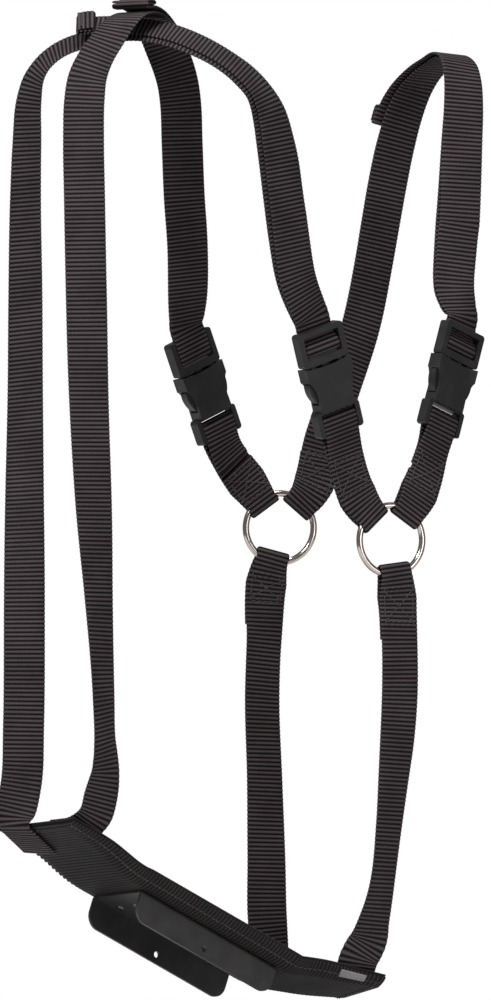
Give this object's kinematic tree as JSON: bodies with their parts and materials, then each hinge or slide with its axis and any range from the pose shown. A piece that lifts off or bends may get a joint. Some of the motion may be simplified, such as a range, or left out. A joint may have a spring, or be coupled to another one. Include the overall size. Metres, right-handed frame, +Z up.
{
  "type": "animal marking harness",
  "caption": "Webbing harness for a ram with buckled front and girth straps, two rings and a brisket band that carries a channel holder for a marking crayon.",
  "frame": {"origin": "the point where the two front straps cross, which is where the harness hangs", "axes": "+Z up, +Y into the depth of the harness away from the viewer, +X towards the girth strap"},
  "size_m": [0.2955, 0.2576, 0.6061],
  "materials": {
    "webbing": "ribbed nylon webbing",
    "band_webbing": "heavy ribbed webbing",
    "lining": "plain woven",
    "holder_steel": "satin black powder coat",
    "rivet_steel": "darkened steel",
    "ring_steel": "polished nickel plate",
    "buckle_plastic": "moulded, fine grain",
    "label": "woven, blank"
  },
  "bodies": {
    "harness": {"chest_band": "band_webbing", "chest_band_lining": "lining", "crayon_holder": "holder_steel", "holder_rivets": "rivet_steel", "holder_washers": "rivet_steel", "size_label": "label", "front_strap_to_middle": "webbing", "front_strap_to_left": "webbing", "girth_strap": "webbing", "middle_tail": "webbing", "left_tail": "webbing", "right_tail": "webbing", "left_rear_strap": "webbing", "right_rear_strap": "webbing", "left_tab": "webbing", "middle_tab": "webbing", "right_tab": "webbing", "left_socket": "buckle_plastic", "middle_socket": "buckle_plastic", "right_socket": "buckle_plastic"},
    "left_ring": {"left_ring": "ring_steel"},
    "right_ring": {"right_ring": "ring_steel"},
    "left_clip": {"left_clip": "buckle_plastic", "left_strap_end": "webbing"},
    "left_prong_a": {"left_prong_a": "buckle_plastic"},
    "left_prong_b": {"left_prong_b": "buckle_plastic"},
    "middle_clip": {"middle_clip": "buckle_plastic", "middle_strap_end": "webbing"},
    "middle_prong_a": {"middle_prong_a": "buckle_plastic"},
    "middle_prong_b": {"middle_prong_b": "buckle_plastic"},
    "right_clip": {"right_clip": "buckle_plastic", "right_strap_end": "webbing"},
    "right_prong_a": {"right_prong_a": "buckle_plastic"},
    "right_prong_b": {"right_prong_b": "buckle_plastic"}
  },
  "joints": [
    {"name": "left_ring_turn", "type": "hinge", "parent": "harness", "child": "left_ring", "pos_m": [0.0897, 0.132, -0.3079], "axis": [0.1736, -0.9848, 0], "continuous": true},
    {"name": "right_ring_turn", "type": "hinge", "parent": "harness", "child": "right_ring", "pos_m": [0.157, 0.052, -0.3152], "axis": [0.4226, -0.9063, 0], "continuous": true},
    {"name": "left_buckle_slide", "type": "slide", "parent": "harness", "child": "left_clip", "axis": [-0.3098, -0.1999, 0.9295], "range_m": [0, 0.025], "deforming": ["left_strap_end", "left_prong_a", "left_prong_b"]},
    {"name": "left_prong_a_bend", "type": "hinge", "parent": "left_clip", "child": "left_prong_a", "pos_m": [0.0323, 0.10149, -0.21493], "axis": [0.6405, -0.7664, 0.0487], "range_deg": [0, 8], "stiffness_Nm_per_rad": 0.6},
    {"name": "left_prong_b_bend", "type": "hinge", "parent": "left_clip", "child": "left_prong_b", "pos_m": [0.04664, 0.11395, -0.20747], "axis": [-0.6405, 0.7664, -0.0487], "range_deg": [0, 8], "stiffness_Nm_per_rad": 0.6},
    {"name": "middle_buckle_slide", "type": "slide", "parent": "harness", "child": "middle_clip", "axis": [-0.219, -0.219, 0.9508], "range_m": [0, 0.025], "deforming": ["middle_strap_end", "middle_prong_a", "middle_prong_b"]},
    {"name": "middle_prong_a_bend", "type": "hinge", "parent": "middle_clip", "child": "middle_prong_a", "pos_m": [0.12428, 0.02705, -0.20425], "axis": [-0.5837, 0.8103, 0.0522], "range_deg": [0, 8], "stiffness_Nm_per_rad": 0.6},
    {"name": "middle_prong_b_bend", "type": "hinge", "parent": "middle_clip", "child": "middle_prong_b", "pos_m": [0.10833, 0.01596, -0.21047], "axis": [0.5837, -0.8103, -0.0522], "range_deg": [0, 8], "stiffness_Nm_per_rad": 0.6},
    {"name": "right_buckle_slide", "type": "slide", "parent": "harness", "child": "right_clip", "axis": [0.2395, 0.2096, 0.948], "range_m": [0, 0.025], "deforming": ["right_strap_end", "right_prong_a", "right_prong_b"]},
    {"name": "right_prong_a_bend", "type": "hinge", "parent": "right_clip", "child": "right_prong_a", "pos_m": [0.20262, 0.08947, -0.21002], "axis": [-0.7243, 0.6888, 0.0307], "range_deg": [0, 8], "stiffness_Nm_per_rad": 0.6},
    {"name": "right_prong_b_bend", "type": "hinge", "parent": "right_clip", "child": "right_prong_b", "pos_m": [0.18944, 0.07531, -0.20356], "axis": [0.7243, -0.6888, -0.0307], "range_deg": [0, 8], "stiffness_Nm_per_rad": 0.6}
  ]
}
